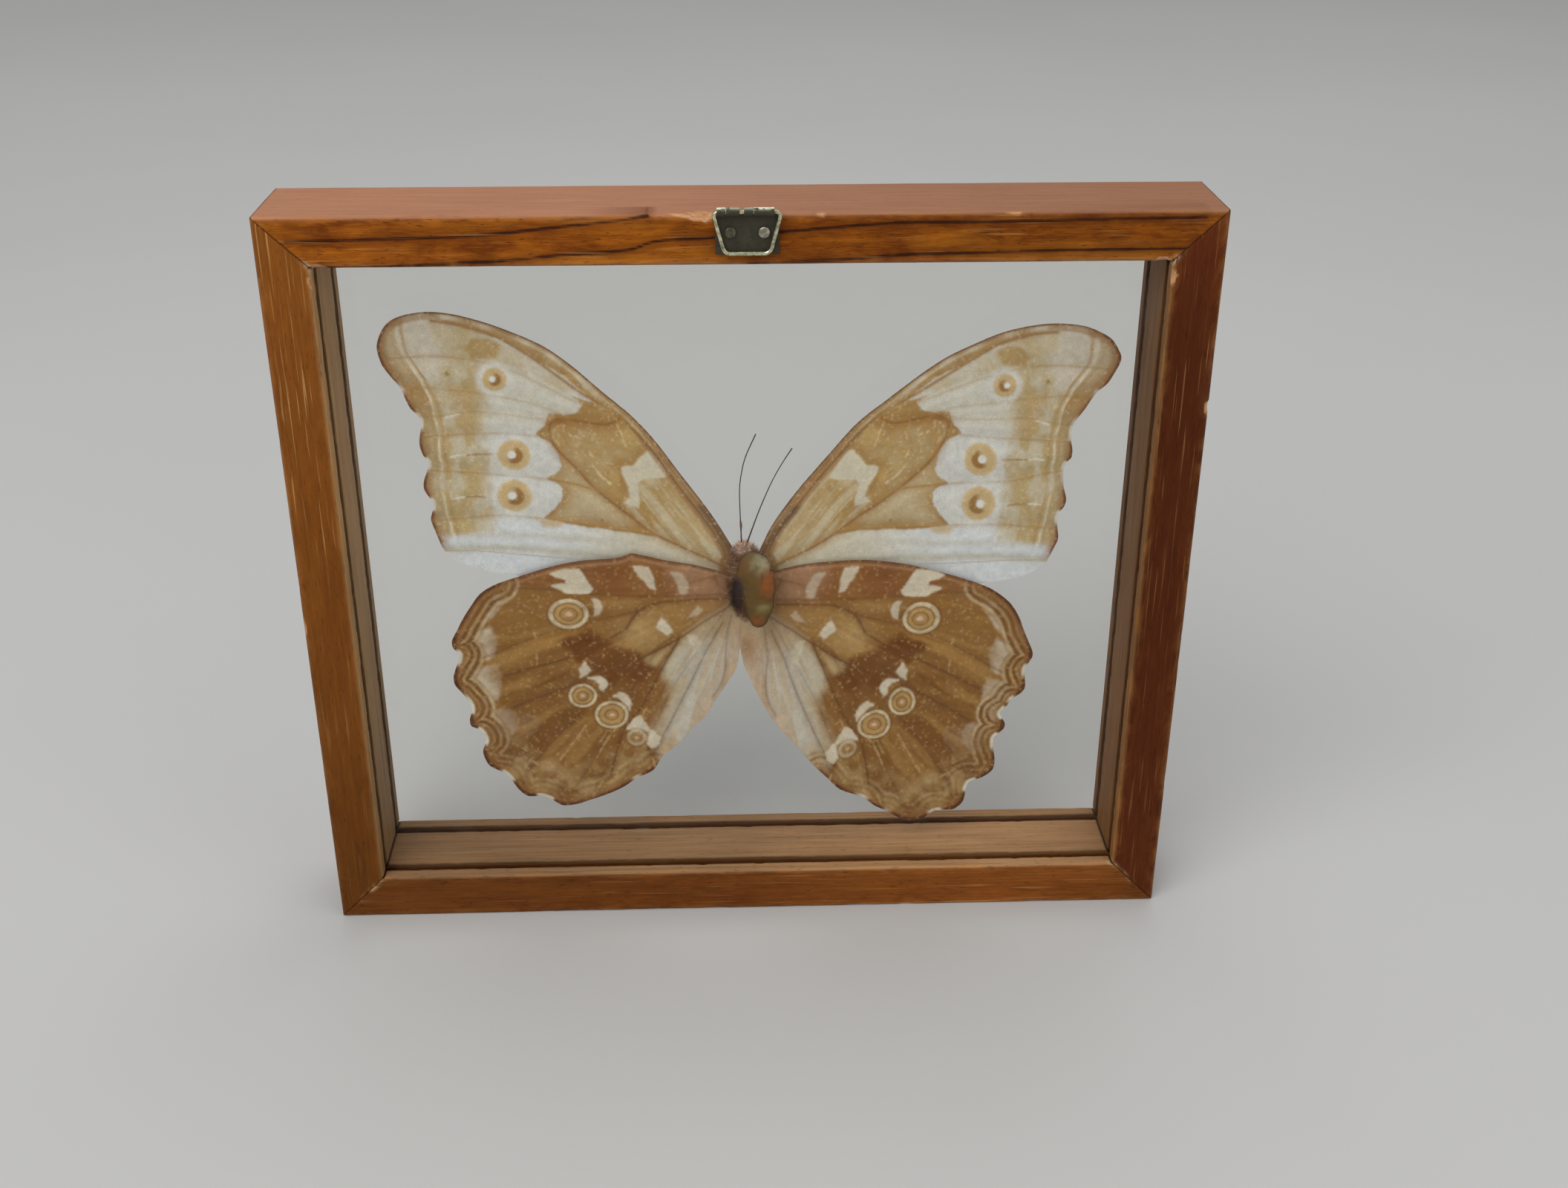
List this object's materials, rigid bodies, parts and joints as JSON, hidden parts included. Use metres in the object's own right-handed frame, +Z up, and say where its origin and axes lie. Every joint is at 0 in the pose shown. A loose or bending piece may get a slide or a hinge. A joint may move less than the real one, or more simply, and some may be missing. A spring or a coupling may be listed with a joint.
{
  "type": "butterfly shadow box",
  "caption": "Small wooden shadow box with two panes of glass holding a spread ochre and white butterfly, with a wire loop hanger at its top edge.",
  "frame": {"origin": "centre of the frame's bottom face, on the surface it stands on", "axes": "+Z up, +X to the right seen from the side with the hanger, which faces -Y"},
  "size_m": [0.16, 0.0224, 0.1403],
  "materials": {
    "stained_wood": "worn stain and thin varnish",
    "clear_glass": "thin clear picture glass",
    "plate_steel": "dark patinated sheet",
    "ring_wire": "bright nickelled wire",
    "nail_steel": "worn nail head",
    "dried_glue": "amber and olive, translucent and glossy",
    "body_fur": "short dry fur",
    "forewing_scales": "matt scales, cream, white and ochre",
    "hindwing_scales": "matt scales, brown with pale ringed spots",
    "antenna_black": "dark thread-thin antenna"
  },
  "bodies": {
    "box": {"frame_top": "stained_wood", "frame_bottom": "stained_wood", "frame_left": "stained_wood", "frame_right": "stained_wood", "glass_back": "clear_glass", "glass_front": "clear_glass", "hanger_plate": "plate_steel", "nail_left": "nail_steel", "nail_right": "nail_steel", "glue_dab": "dried_glue", "body": "body_fur", "forewing_left": "forewing_scales", "forewing_right": "forewing_scales", "hindwing_left": "hindwing_scales", "hindwing_right": "hindwing_scales", "antenna_left": "antenna_black", "antenna_right": "antenna_black"},
    "ring": {"hanger_ring": "ring_wire"}
  },
  "joints": [
    {"name": "hanger_ring_swing", "type": "hinge", "parent": "box", "child": "ring", "pos_m": [0.0004, -0.01135, 0.1393], "axis": [-1, 0, 0], "range_deg": [0, 250]}
  ]
}
